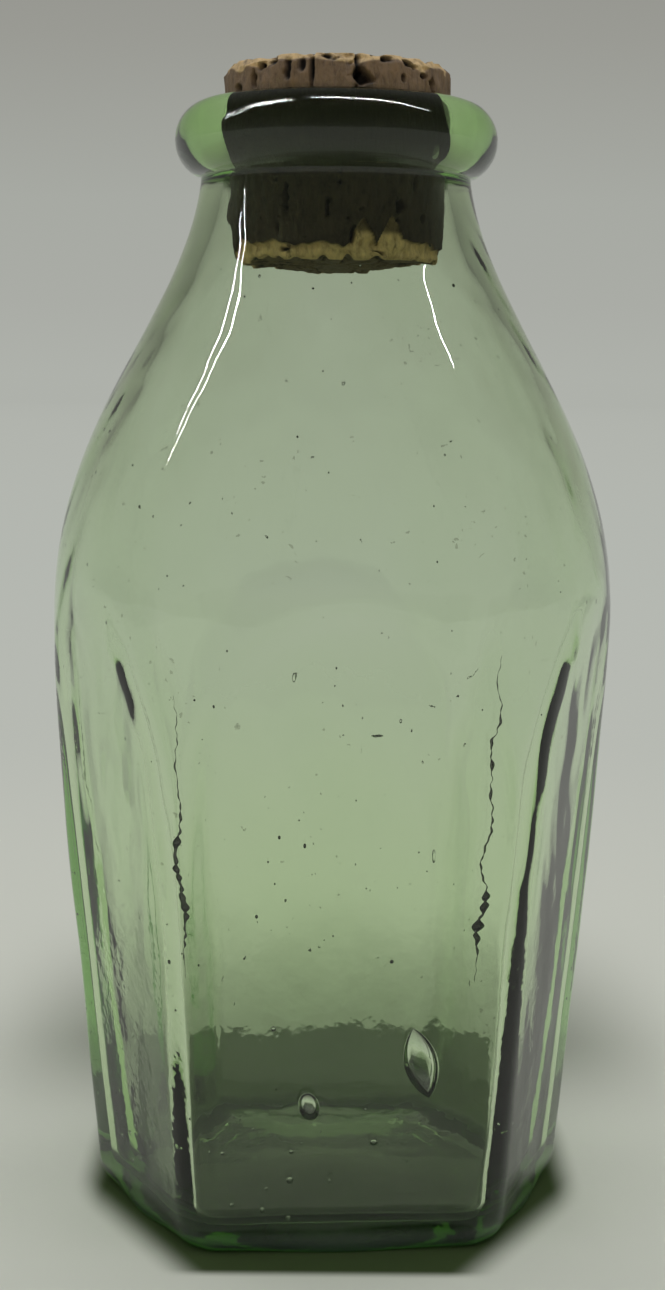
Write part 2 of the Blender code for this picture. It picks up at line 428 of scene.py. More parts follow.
@dataclass(frozen=True)
class GlassFinish:
    """Bottle glass: clear, greener where thick, with fine wrinkles, drawn streaks, faint dirt and painted
    shade on its foot.
    """

    absorption: Colour = (0.48, 0.76, 0.20)
    density: float = 124.0
    index: float = 1.5
    roughness: float = 0.0
    detail: float = 2.0
    streaks_per_metre: float = 620.0
    streak_stretch: Factors = (1.0, 1.0, 0.12)
    streak_depth: float = 0.002 * MM
    streak_levels: Span = (40.0 * MM, 85.0 * MM)
    streak_low_share: float = 0.15
    wrinkles_per_metre: float = 1500.0
    wrinkle_roughness: float = 0.6
    wrinkle_depth: float = 0.0016 * MM
    wrinkle_levels: Span = (30.0 * MM, 70.0 * MM)
    wrinkle_low_share: float = 0.5
    hammer_per_metre: float = 520.0
    hammer_depth: float = 0.03 * MM
    hammer_levels: Span = (26.0 * MM, 42.0 * MM)
    specks_per_metre: float = 900.0
    speck_roughness: float = 0.6
    speck_limits: Span = (0.80, 0.70)
    speck_edge: float = 0.03
    speck_strength: float = 0.55
    patches_per_metre: float = 90.0
    patch_range: Span = (0.45, 0.62)
    clean: Colour = (1.0, 1.0, 1.0)
    dirt: Colour = (0.10, 0.08, 0.05)
    grime: Colour = (0.02, 0.02, 0.012)
    # Painted shade on the foot: a dark teal colour, and the share of the glass there that is not clear.
    dark_foot_tint: Colour = (0.20, 0.27, 0.23)
    dark_foot_weight: float = 0.15

    def relief(self, sheet: Sheet, place: Socket) -> Socket:
        """Drawn streaks and wrinkles, fuller higher up, and hammer marks of the mould low down.

        Args:
            sheet: Node tree of the glass.
            place: Output that gives the place.

        Returns:
            Normal output.
        """
        level = sheet.parts(place)["Z"]
        drawn_out = sheet.stretched(place, self.streak_stretch)
        streaks = sheet.noise(drawn_out, self.streaks_per_metre, self.detail)
        share = sheet.rise(level, *self.streak_levels, self.streak_low_share, 1.0)
        normal = sheet.bump(sheet.math("MULTIPLY", streaks, share), self.streak_depth)
        wrinkles = sheet.noise(place, self.wrinkles_per_metre, self.detail, self.wrinkle_roughness)
        share = sheet.rise(level, *self.wrinkle_levels, self.wrinkle_low_share, 1.0)
        normal = sheet.bump(sheet.math("MULTIPLY", wrinkles, share), self.wrinkle_depth, normal)
        hammer = sheet.noise(place, self.hammer_per_metre, self.detail)
        share = sheet.rise(level, *self.hammer_levels, 1.0, 0.0)
        return sheet.bump(sheet.math("MULTIPLY", hammer, share), self.hammer_depth, normal)

    def tint(self, sheet: Sheet, place: Socket) -> Socket:
        """Clear glass with specks of dirt in patches, and grime in its folds and in some bubbles.

        Args:
            sheet: Node tree of the glass.
            place: Output that gives the place.

        Returns:
            Colour output.
        """
        specks = sheet.noise(place, self.specks_per_metre, self.detail, self.speck_roughness)
        patches = sheet.noise(place, self.patches_per_metre, self.detail)
        over = sheet.math("SUBTRACT", specks, sheet.rise(patches, *self.patch_range, *self.speck_limits))
        dirty = sheet.rise(over, 0.0, self.speck_edge, 0.0, self.speck_strength)
        return sheet.blend(sheet.mark("grime"), sheet.blend(dirty, self.clean, self.dirt), self.grime)

    def material(self) -> bpy.types.Material:
        """Make the glass material, with painted shade on its foot, which is duller and dark teal.

        Returns:
            The material.
        """
        made = bpy.data.materials.new("bottle_green_glass")
        made.use_nodes = True
        sheet = Sheet(made.node_tree)
        place = sheet.place()
        surface = sheet.node("ShaderNodeBsdfPrincipled")
        surface.inputs["Roughness"].default_value = self.roughness
        surface.inputs["IOR"].default_value = self.index
        sheet.join(self.relief(sheet, place), surface.inputs["Normal"])
        # Painted shade: the foot mark makes the lowest glass dark teal and less clear.
        foot = sheet.mark("foot")
        sheet.join(sheet.blend(foot, self.tint(sheet, place), self.dark_foot_tint), surface.inputs["Base Color"])
        clear = sheet.math("SUBTRACT", 1.0, sheet.math("MULTIPLY", foot, self.dark_foot_weight))
        sheet.join(clear, surface.inputs["Transmission Weight"])
        inside = sheet.node("ShaderNodeVolumeAbsorption")
        inside.inputs["Color"].default_value = (*self.absorption, 1.0)
        inside.inputs["Density"].default_value = self.density
        out = sheet.node("ShaderNodeOutputMaterial")
        sheet.join(surface.outputs["BSDF"], out.inputs["Surface"])
        sheet.join(inside.outputs["Volume"], out.inputs["Volume"])
        return made


@dataclass
class Bottle:
    """The glass: pushed-up base, six arched panels with round ribs, round shoulder, neck and ring lip."""

    height: float = 115.0 * MM
    body_radius: float = 29.42 * MM
    shoulder_height: float = 62.0 * MM
    neck_top_below_mouth: float = 4.8 * MM
    shoulder_full_share: float = 0.463
    neck_flare_share: float = 0.319
    foot_radius: float = 24.9 * MM
    taper_height: float = 47.2 * MM
    taper_softness: float = 1.5 * MM
    rib_turn: float = math.radians(40.0)
    turned: float = math.radians(4.0)
    front_reach_at_base: float = 20.8 * MM
    front_reach_at_shoulder: float = 26.0 * MM
    front_runout: float = 3.1 * MM
    side_reach_at_base: float = 22.6 * MM
    side_reach_at_shoulder: float = 27.9 * MM
    side_runout: float = 1.2 * MM
    least_cosine: float = 0.2
    arch_start_share: float = 0.76
    arch_length_share: float = 0.30
    arch_softness: float = 0.5 * MM
    heel_height_at_panel: float = 4.6 * MM
    heel_height_at_rib: float = 3.2 * MM
    heel_depth_at_panel: float = 0.7 * MM
    heel_depth_at_rib: float = 2.0 * MM
    bore_radius: float = 11.75 * MM
    neck_wall: float = 1.98 * MM
    lip_height: float = 7.7 * MM
    lip_projection: float = 2.92 * MM
    lip_crest: float = 1.45 * MM
    lip_fall: float = 1.2 * MM
    wall_at_lip: float = 2.2 * MM
    wall_at_shoulder: float = 1.9 * MM
    front_gain: float = 0.3 * MM
    back_gain: float = 4.5 * MM
    back_power: float = 1.8
    wall_gain_power: float = 0.85
    rib_wall_gain: float = -1.2 * MM
    inner_edge_softness: float = 6.0 * MM
    least_edge_share: float = 0.1
    low_edge_share: float = 0.4
    low_edge_levels: Span = (12.0 * MM, 38.0 * MM)
    inner_corner_softness: float = 0.4 * MM
    floor_rise: float = 0.3 * MM
    inner_heel: float = 2.5 * MM
    base_thickness: float = 2.3 * MM
    resting_ring_width: float = 3.0 * MM
    resting_ring_shares: tuple[float, ...] = (0.0, 0.3, 0.7, 1.0)
    push_up: float = 1.5 * MM
    push_up_power: float = 1.5
    skin_depth: float = 0.06 * MM
    inner_relief_limit: float = 0.24 * MM
    outer_relief: tuple[Ripples, ...] = (
        Ripples(11, 12.0 * MM, 0.035 * MM, (1.0, 1.0, 1.6)),
        Ripples(12, 3.6 * MM, 0.008 * MM, (1.0, 1.0, 2.2)),
    )
    inner_relief: tuple[Ripples, ...] = (
        Ripples(21, 9.0 * MM, 0.035 * MM, (1.0, 1.0, 1.8)),
        Ripples(22, 3.0 * MM, 0.008 * MM, (1.0, 1.0, 2.0)),
    )
    relief_levels: Span = (2.0 * MM, 7.0 * MM)
    low_relief_share: float = 0.7
    low_relief_levels: Span = (25.0 * MM, 60.0 * MM)
    throat_depths: Span = (8.0 * MM, 16.0 * MM)
    # Painted shade on the foot fades out between these levels.
    dark_foot_levels: Span = (0.4 * MM, 3.0 * MM)
    ring_points: int = 432
    curve_points: int = 400
    base_rows: int = 24
    middle_share: float = 0.04
    hollow_edge_share: float = 0.98
    heel_rows: int = 12
    side_rows: int = 150
    lip_rows: int = 40
    mouth_rows: int = 12
    inner_heel_rows: int = 16
    dark_foot_rows: int = 60

    @property
    def side_turn(self) -> float:
        """Turn from the front panel's middle to the middle of the next panel."""
        return (self.rib_turn + QUARTER) / 2

    @property
    def crease(self) -> float:
        """Height of the crease under the lip."""
        return self.height - self.lip_height

    @staticmethod
    def from_panel(turn: np.ndarray) -> np.ndarray:
        """Angle from the middle of the front or back panel, the nearer one, for a turn from the front."""
        return np.abs((turn + QUARTER) % (2 * QUARTER) - QUARTER)

    @staticmethod
    def placed(reach: np.ndarray, level: np.ndarray, angles: np.ndarray) -> np.ndarray:
        """Points at reaches from the axis, heights and angles round it."""
        return np.stack([reach * np.cos(angles), reach * np.sin(angles), level], axis=-1)

    def shoulder_curve(self) -> Ring:
        """Heights and radii of the curve that sweeps from the widest level in to the neck.

        Returns:
            Rising heights, and the radius at each.
        """
        share = np.linspace(0.0, 1.0, self.curve_points)
        rest = 1.0 - share
        neck_top = self.height - self.neck_top_below_mouth
        rise = neck_top - self.shoulder_height
        weights = np.stack([rest ** 3, 3 * rest ** 2 * share, 3 * rest * share ** 2, share ** 3])
        levels = np.array([
            self.shoulder_height,
            self.shoulder_height + self.shoulder_full_share * rise,
            neck_top - self.neck_flare_share * rise,
            neck_top,
        ])
        wide = weights[0] + weights[1]
        return levels @ weights, wide * self.body_radius + (1.0 - wide) * (self.bore_radius + self.neck_wall)

    def round_radius(self, heights: np.ndarray) -> np.ndarray:
        """Radius of the round outline, a slow cone under the shoulder.

        Args:
            heights: Heights above the base.

        Returns:
            Radii in metres.
        """
        levels, radii = self.shoulder_curve()
        lean = (self.body_radius - self.foot_radius) / self.taper_height
        cone = self.foot_radius + lean * heights
        return soft_min(cone, np.interp(heights, levels, radii), self.taper_softness)

    def panel_reach(
        self, heights: np.ndarray, turn: np.ndarray, wall: float | np.ndarray, softness: float
    ) -> np.ndarray:
        """Distance from the axis to the planes of the panels, which curve out at the top to end in arches.

        Args:
            heights: Heights above the base.
            turn: Angles from the middle of the front or back panel, whichever is nearer.
            wall: Depth of the surface under the outer face.
            softness: Width over which two planes run into one another.

        Returns:
            Reaches in metres.
        """
        share = heights / self.shoulder_height
        bend = (np.maximum(share - self.arch_start_share, 0.0) / self.arch_length_share) ** 2
        lean = self.front_reach_at_shoulder - self.front_reach_at_base
        front = self.front_reach_at_base + lean * share + self.front_runout * bend - wall
        lean = self.side_reach_at_shoulder - self.side_reach_at_base
        side = self.side_reach_at_base + lean * share + self.side_runout * bend - wall
        front = front / np.maximum(np.cos(turn), self.least_cosine)
        return soft_min(front, side / np.cos(turn - self.side_turn), softness)

    def outer_reach(self, heights: np.ndarray, turn: np.ndarray) -> np.ndarray:
        """Distance from the axis to the outer face.

        Args:
            heights: Heights above the base.
            turn: Angles from the middle of the front or back panel, whichever is nearer.

        Returns:
            Reaches in metres.
        """
        panels = self.panel_reach(heights, turn, 0.0, self.arch_softness)
        return soft_min(panels, self.round_radius(heights), self.arch_softness)

    def inner_reach(self, heights: np.ndarray, turn: np.ndarray, back: float | np.ndarray) -> np.ndarray:
        """Distance from the axis to the inner face. The wall thickens towards the base, most at the back.

        Args:
            heights: Heights above the base.
            turn: Angles from the middle of the front or back panel, whichever is nearer.
            back: How far round to the back each point is, from 0 to 1.

        Returns:
            Reaches in metres.
        """
        rest = np.clip(1.0 - heights / self.shoulder_height, 0.0, 1.0)
        gain = self.front_gain + (self.back_gain - self.front_gain) * back ** self.back_power
        gain = gain * rest ** self.wall_gain_power
        share = np.clip((heights - self.shoulder_height) / (self.crease - self.shoulder_height), 0.0, 1.0)
        wall = self.wall_at_shoulder + (self.wall_at_lip - self.wall_at_shoulder) * share + gain
        panel = self.panel_reach(heights, turn, wall, self.inner_corner_softness)
        hollow = np.maximum(self.round_radius(heights) - wall - self.rib_wall_gain * rest, self.bore_radius)
        sharper = smooth_step(heights, *self.low_edge_levels)
        sharp = self.low_edge_share + (1.0 - self.low_edge_share) * sharper
        softness = self.inner_edge_softness * np.maximum(rest, self.least_edge_share) * sharp
        return soft_min(panel, hollow, softness)

    def heel_at(self, turn: np.ndarray) -> Ring:
        """Height and depth of the rounding between the sides and the underside.

        Args:
            turn: Angles from the middle of the front or back panel, whichever is nearer.

        Returns:
            Heights and depths in metres.
        """
        side = np.abs(turn - self.side_turn) / (QUARTER - self.side_turn)
        share = smooth_step(np.where(turn < self.rib_turn, turn / self.rib_turn, side), 0.0, 1.0)
        height = self.heel_height_at_panel + (self.heel_height_at_rib - self.heel_height_at_panel) * share
        depth = self.heel_depth_at_panel + (self.heel_depth_at_rib - self.heel_depth_at_panel) * share
        return height, depth

    def push_up_at(self, share: float) -> float:
        """Height of the hollow underside at a share of the way out."""
        return self.push_up * math.cos(QUARTER * share) ** self.push_up_power

    @staticmethod
    def drawn_in(reaches: np.ndarray, share: float) -> np.ndarray:
        """Reaches at a share of the way out to an edge, rounder towards the middle."""
        circle = reaches.min()
        return share * (circle + (reaches - circle) * share)

    def base_rings(self, turn: np.ndarray) -> list[Ring]:
        """Rings from the middle of the underside, over the ring it rests on, to the top of the heel.

        Args:
            turn: Angles from the middle of the front or back panel, whichever is nearer.

        Returns:
            Reach and height of each ring.
        """
        flat = np.zeros_like(turn)
        heel, depth = self.heel_at(turn)
        ring_edge = self.outer_reach(heel, turn) - depth
        hollow_edge = ring_edge - self.resting_ring_width
        rings = []
        for share in np.linspace(self.middle_share, self.hollow_edge_share, self.base_rows):
            rings.append((self.drawn_in(hollow_edge, share), flat + self.push_up_at(share)))
        for share in self.resting_ring_shares:
            rings.append((hollow_edge + (ring_edge - hollow_edge) * share, flat))
        for step in range(1, self.heel_rows + 1):
            bend = QUARTER * step / self.heel_rows
            rings.append((ring_edge + depth * math.sin(bend), heel * (1.0 - math.cos(bend))))
        return rings

    def side_rings(self, turn: np.ndarray) -> list[Ring]:
        """Rings up the outside, between the heel and the crease under the lip.

        Args:
            turn: Angles from the middle of the front or back panel, whichever is nearer.

        Returns:
            Reach and height of each ring.
        """
        heel, _ = self.heel_at(turn)
        rings = []
        for share in np.linspace(0.0, 1.0, self.side_rows)[1:-1]:
            levels = heel + (self.crease - heel) * share
            rings.append((self.outer_reach(levels, turn), levels))
        return rings

    def lip_rings(self, turn: np.ndarray) -> list[Ring]:
        """Rings over the lip, from the crease under it to the bore.

        Args:
            turn: Angles from the middle of the front or back panel, whichever is nearer.

        Returns:
            Reach and height of each ring.
        """
        flat = np.zeros_like(turn)
        crest_radius = self.bore_radius + self.lip_crest
        half_height = self.lip_height / 2
        half_width = self.bore_radius + self.neck_wall + self.lip_projection - crest_radius
        crease_radius = float(self.outer_reach(flat + self.crease, turn).max())
        crease_turn = -math.acos((crease_radius - crest_radius) / half_width)
        rings = []
        for share in np.linspace(0.0, 1.0, self.lip_rows):
            bend = crease_turn + (QUARTER - crease_turn) * share
            level = self.height - half_height + half_height * math.sin(bend)
            rings.append((flat + crest_radius + half_width * math.cos(bend), flat + level))
        for share in np.linspace(0.0, 1.0, self.mouth_rows)[1:]:
            level = self.height - self.lip_fall * (1.0 - math.cos(QUARTER * share))
            rings.append((flat + crest_radius - self.lip_crest * math.sin(QUARTER * share), flat + level))
        return rings

    def inside_rings(self, turn: np.ndarray, back: np.ndarray) -> list[Ring]:
        """Rings down the inside, from the mouth to the middle of the floor.

        Args:
            turn: Angles from the middle of the front or back panel, whichever is nearer.
            back: How far round to the back each point is, from 0 to 1.

        Returns:
            Reach and height of each ring.
        """
        flat = np.zeros_like(turn)
        foot_level = self.base_thickness + self.inner_heel
        top_level = self.height - self.lip_fall
        rings = []
        for share in np.linspace(0.0, 1.0, self.side_rows)[1:]:
            levels = flat + top_level + (foot_level - top_level) * share
            rings.append((self.inner_reach(levels, turn, back), levels))
        foot = self.inner_reach(flat + foot_level, turn, back)
        for step in range(1, self.inner_heel_rows + 1):
            bend = QUARTER * step / self.inner_heel_rows
            level = self.base_thickness + self.inner_heel * (1.0 - math.sin(bend))
            rings.append((foot - self.inner_heel * (1.0 - math.cos(bend)), flat + level))
        for share in np.linspace(1.0, self.middle_share, self.base_rows)[1:]:
            level = self.base_thickness + self.floor_rise * math.cos(QUARTER * share) ** 2
            rings.append((self.drawn_in(foot - self.inner_heel, share), flat + level))
        return rings

    def relief(self, places: np.ndarray, inside: np.ndarray) -> np.ndarray:
        """Uneven surface of the blown glass, which fades out at the base and, on the inside, in the throat.

        Args:
            places: Points of the smooth glass.
            inside: Which of them are on the inner face.

        Returns:
            How far each point moves outwards.
        """
        level = places[..., 2]
        outer = sum(relief.at(places) for relief in self.outer_relief) - self.skin_depth
        inner = sum(relief.at(places) for relief in self.inner_relief)
        share = smooth_step(level, *self.low_relief_levels)
        inner = inner * (self.low_relief_share + (1.0 - self.low_relief_share) * share)
        inner = np.maximum(inner, -self.inner_relief_limit)
        inner = inner * smooth_step(self.height - level, *self.throat_depths)
        return np.where(inside, inner, outer) * smooth_step(level, *self.relief_levels)

    def rows(self) -> np.ndarray:
        """All rings of the glass, from the middle of the underside, out and up, over the lip and down inside.

        Returns:
            Array of rings by points by x, y and z.
        """
        angles = np.linspace(0.0, TURN, self.ring_points, endpoint=False) - QUARTER
        turn = self.from_panel(angles + QUARTER - self.turned)
        back = (1.0 + np.sin(angles)) / 2
        outside = self.base_rings(turn) + self.side_rings(turn) + self.lip_rings(turn)
        rings = outside + self.inside_rings(turn, back)
        reach = np.array([ring[0] for ring in rings])
        level = np.array([ring[1] for ring in rings])
        inside = np.arange(len(rings))[:, None] > len(outside)
        reach = reach + self.relief(self.placed(reach, level, angles), inside)
        return self.placed(reach, level, angles)

    def in_wall(self, turn: float, level: float, share: float) -> np.ndarray:
        """Point in the glass wall.

        Args:
            turn: Angle round the axis from the front panel's middle.
            level: Height above the base.
            share: Share of the wall's thickness, from its outer face inwards.

        Returns:
            The point's x, y and z.
        """
        bend = self.from_panel(np.array([turn - self.turned]))
        levels = np.array([level])
        outer = float(self.outer_reach(levels, bend)[0])
        inner = float(self.inner_reach(levels, bend, (1.0 - math.cos(turn)) / 2)[0])
        reach = outer + (inner - outer) * share
        return np.array([reach * math.sin(turn), -reach * math.cos(turn), level])

    def build(self, finish: GlassFinish) -> bpy.types.Object:
        """Make the glass and put it in the place of its solid.

        Args:
            finish: The glass's finish.

        Returns:
            The glass object.
        """
        skin = Skin()
        rows = self.rows()
        floor = self.base_thickness + self.floor_rise
        skin.add_rows(rows, np.array([0.0, 0.0, self.push_up]), np.array([0.0, 0.0, floor]))
        grime = [np.zeros(skin.count)]
        for flaw in [*BLISTERS, *Seeds().spread(), *FOLDS]:
            start = skin.count
            flaw.add_to(skin, self)
            grime.append(np.full(skin.count - start, flaw.grime))
        # Painted shade: the lowest rows are marked as the dark teal foot.
        low = rows[: self.dark_foot_rows, :, 2].ravel()
        foot = np.zeros(skin.count)
        foot[: low.size] = 1.0 - smooth_step(low, *self.dark_foot_levels)
        piece = skin.build("green_glass", finish.material())
        mark_points(piece, "grime", np.concatenate(grime))
        mark_points(piece, "foot", foot)
        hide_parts("glass_bottle")
        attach(piece, Body.BOTTLE.value)
        return piece


@dataclass(frozen=True)
class Blister:
    """Air trapped in the glass: a flattened bubble with round or pointed ends."""

    turn: float
    level: float
    half_across: float
    half_up: float
    half_deep: float
    share: float = 0.5
    tilt: float = 0.0
    point: float = 0.5
    facing: float = 0.0
    grime: float = 0.0
    row_count: int = 20
    ring_count: int = 24

    def add_to(self, skin: Skin, bottle: Bottle) -> None:
        """Add the bubble's surface, facing the air inside it, to the glass.

        Args:
            skin: Mesh of the glass.
            bottle: The bottle whose wall holds the bubble.
        """
        steps = np.linspace(0.0, math.pi, self.row_count + 2)[1:-1]
        rise = -np.cos(steps)[:, None]
        size = np.sin(steps)[:, None] ** (2 * self.point)
        angles = np.linspace(0.0, TURN, self.ring_count, endpoint=False)
        across = self.half_across * size * np.cos(angles)
        deep = self.half_deep * size * np.sin(angles)
        up = self.half_up * rise + np.zeros_like(across)
        sideways = across * math.cos(self.tilt) - up * math.sin(self.tilt)
        upwards = across * math.sin(self.tilt) + up * math.cos(self.tilt)
        centre = bottle.in_wall(self.turn, self.level, self.share)
        out = np.array([math.sin(self.facing), -math.cos(self.facing), 0.0])
        side = np.array([math.cos(self.facing), math.sin(self.facing), 0.0])
        lean = (bottle.side_reach_at_shoulder - bottle.side_reach_at_base) / bottle.shoulder_height
        climb = np.array([0.0, 0.0, 1.0]) + out * lean
        rows = centre + sideways[..., None] * side + deep[..., None] * out + upwards[..., None] * climb
        tip = self.half_up * (-math.sin(self.tilt) * side + math.cos(self.tilt) * climb)
        skin.add_rows(rows, centre - tip, centre + tip)


@dataclass(frozen=True)
class Fold:
    """Long crooked line of air along a rib, where the hot glass folded over itself."""

    turn: float
    low: float
    high: float
    half_across: float
    thick_level: float
    thick_reach: float
    seed: int
    share: float = 0.4
    swing: float = math.radians(0.35)
    bend_length: float = 5.0 * MM
    kink_length: float = 1.0 * MM
    kink_share: float = 0.45
    knot_length: float = 1.3 * MM
    knot_share: float = 0.8
    least_share: float = 0.45
    thick_gain: float = 3.0
    end_margin: float = 0.02
    end_power: float = 0.4
    deep_share: float = 0.55
    tip_length: float = 0.05 * MM
    grime: float = 0.95
    row_count: int = 240
    ring_count: int = 10

    def wave(self, levels: np.ndarray, number: int, length: float, height: float) -> np.ndarray:
        """Uneven wave along the line.

        Args:
            levels: Heights above the base.
            number: Which of the line's waves it is.
            length: Its wavelength in metres.
            height: Its height.

        Returns:
            The wave at each height.
        """
        places = np.stack([levels * 0.0, levels * 0.0, levels], axis=-1)
        return Ripples(self.seed + number, length, height).at(places)

    def add_to(self, skin: Skin, bottle: Bottle) -> None:
        """Add the line's surface, facing the air inside it, to the glass.

        Args:
            skin: Mesh of the glass.
            bottle: The bottle whose wall holds the line.
        """
        levels = np.linspace(self.low, self.high, self.row_count)
        crooked = self.wave(levels, 0, self.bend_length, 1.0)
        crooked = crooked + self.wave(levels, 1, self.kink_length, self.kink_share)
        uneven = self.least_share + np.abs(self.wave(levels, 2, self.knot_length, self.knot_share))
        half_turn = np.linspace(self.end_margin, math.pi - self.end_margin, self.row_count)
        ends = np.sin(half_turn) ** self.end_power
        thick = 1.0 + self.thick_gain * np.exp(-(((levels - self.thick_level) / self.thick_reach) ** 4))
        widths = self.half_across * uneven * ends * thick
        angles = np.linspace(0.0, TURN, self.ring_count, endpoint=False)
        rows = []
        for level, bend, width in zip(levels, crooked, widths):
            turn = self.turn + self.swing * bend
            out = np.array([math.sin(turn), -math.cos(turn), 0.0])
            side = np.array([math.cos(turn), math.sin(turn), 0.0])
            ring = np.outer(np.cos(angles) * width, side)
            ring = ring + np.outer(np.sin(angles) * width * self.deep_share, out)
            rows.append(bottle.in_wall(turn, float(level), self.share) + ring)
        rows = np.array(rows)
        step = np.array([0.0, 0.0, self.tip_length])
        skin.add_rows(rows, rows[0].mean(axis=0) - step, rows[-1].mean(axis=0) + step)


@dataclass(frozen=True)
class Seeds:
    """Tiny bubbles spread through the walls, some of them dirty. Sizes and levels are in millimetres."""

    count: int = 240
    seed: int = 5
    sizes: Span = (0.05, 0.11)
    rare_gain: float = 0.12
    rare_power: int = 6
    levels: Span = (8.0, 100.0)
    tall_shares: Span = (0.9, 1.7)
    wall_shares: Span = (0.3, 0.7)
    dirty_share: float = 0.5
    grime: float = 0.9
    row_count: int = 5
    ring_count: int = 8

    def spread(self) -> list[Blister]:
        """Scatter the bubbles.

        Returns:
            The bubbles.
        """
        rng = np.random.default_rng(self.seed)
        made = []
        for _ in range(self.count):
            turn = float(rng.uniform(-math.pi, math.pi))
            size = float(rng.uniform(*self.sizes) + self.rare_gain * rng.uniform() ** self.rare_power) * MM
            level = float(rng.uniform(*self.levels)) * MM
            tall = size * float(rng.uniform(*self.tall_shares))
            share = float(rng.uniform(*self.wall_shares))
            grime = float(rng.uniform() < self.dirty_share) * self.grime
            made.append(Blister(
                turn, level, size, tall, size, share,
                facing=turn, grime=grime, row_count=self.row_count, ring_count=self.ring_count,
            ))
        return made


FRONT_REACH_MM = 22.5
ROUND_SHARE = 0.8


def front(across: float, level: float, half_across: float, half_up: float, **more: float) -> Blister:
    """Bubble in the front panel. All lengths are in millimetres.

    Args:
        across: Place to the right of the panel's middle.
        level: Height above the base.
        half_across: Half its width.
        half_up: Half its height.
        more: Other fields of the bubble.

    Returns:
        The bubble.
    """
    deep = more.pop("half_deep", min(half_across, half_up) * ROUND_SHARE)
    turn = math.atan2(across, FRONT_REACH_MM)
    return Blister(turn, level * MM, half_across * MM, half_up * MM, deep * MM, **more)


def elsewhere(
    turn: float, level: float, half_across: float, half_up: float, deep: float, facing: float
) -> Blister:
    """Bubble in another panel.

    Args:
        turn: Degrees round from the front.
        level: Height above the base, in millimetres.
        half_across: Half its width, in millimetres.
        half_up: Half its height, in millimetres.
        deep: Half its depth, in millimetres.
        facing: Degrees from the front that its flat side faces.

    Returns:
        The bubble.
    """
    sizes = (half_across * MM, half_up * MM, deep * MM)
    return Blister(math.radians(turn), level * MM, *sizes, facing=math.radians(facing))


BLISTERS = [
    front(9.7, 20.0, 1.72, 3.75, tilt=math.radians(13), point=0.85, half_deep=1.0, share=0.42),
    front(-2.1, 15.6, 1.05, 1.45, tilt=math.radians(14), half_deep=0.75, share=0.42),
    front(4.9, 11.7, 0.42, 0.40),
    front(-4.2, 7.8, 0.36, 0.42),
    front(-4.0, 10.8, 0.22, 0.24),
    front(-2.9, 11.7, 0.15, 0.16),
    front(-5.6, 23.8, 0.26, 0.26),
    front(-11.1, 10.8, 0.20, 0.22),
    front(-6.7, 6.9, 0.18, 0.24),
    front(0.1, 7.6, 0.18, 0.24),
    front(2.7, 8.4, 0.14, 0.15),
    front(-7.2, 4.6, 0.26, 0.36),
    front(-4.4, 3.6, 0.28, 0.34),
    front(-9.0, 9.4, 0.14, 0.16),
    front(3.9, 15.2, 0.12, 0.12),
    front(-7.9, 13.3, 0.12, 0.14),
    front(6.9, 6.4, 0.13, 0.13),
    front(-10.4, 5.2, 0.20, 0.24),
    front(8.6, 9.8, 0.12, 0.12),
    front(-0.9, 12.9, 0.10, 0.12),
    elsewhere(-62, 9.5, 0.30, 0.34, 0.26, facing=-60),
    elsewhere(-52, 8.4, 0.24, 0.36, 0.22, facing=-60),
    elsewhere(-72, 7.2, 0.34, 0.26, 0.24, facing=-60),
    elsewhere(-66, 5.2, 0.55, 0.32, 0.26, facing=-60),
    elsewhere(48, 12.2, 0.22, 0.22, 0.20, facing=60),
    elsewhere(151, 31.0, 0.30, 0.85, 0.26, facing=150),
    elsewhere(-170, 52.0, 0.26, 0.60, 0.24, facing=-170),
]
FOLDS = [
    Fold(math.radians(-31.2), 29.0 * MM, 57.0 * MM, 0.07 * MM, 39.0 * MM, 5.0 * MM, 41),
    Fold(math.radians(33.6), 28.5 * MM, 61.0 * MM, 0.09 * MM, 34.5 * MM, 3.0 * MM, 47),
    Fold(math.radians(89.0), 34.0 * MM, 58.0 * MM, 0.05 * MM, 50.0 * MM, 4.0 * MM, 53, share=0.8),
    Fold(math.radians(-91.0), 26.0 * MM, 60.0 * MM, 0.05 * MM, 48.0 * MM, 5.0 * MM, 59, share=0.8),
]


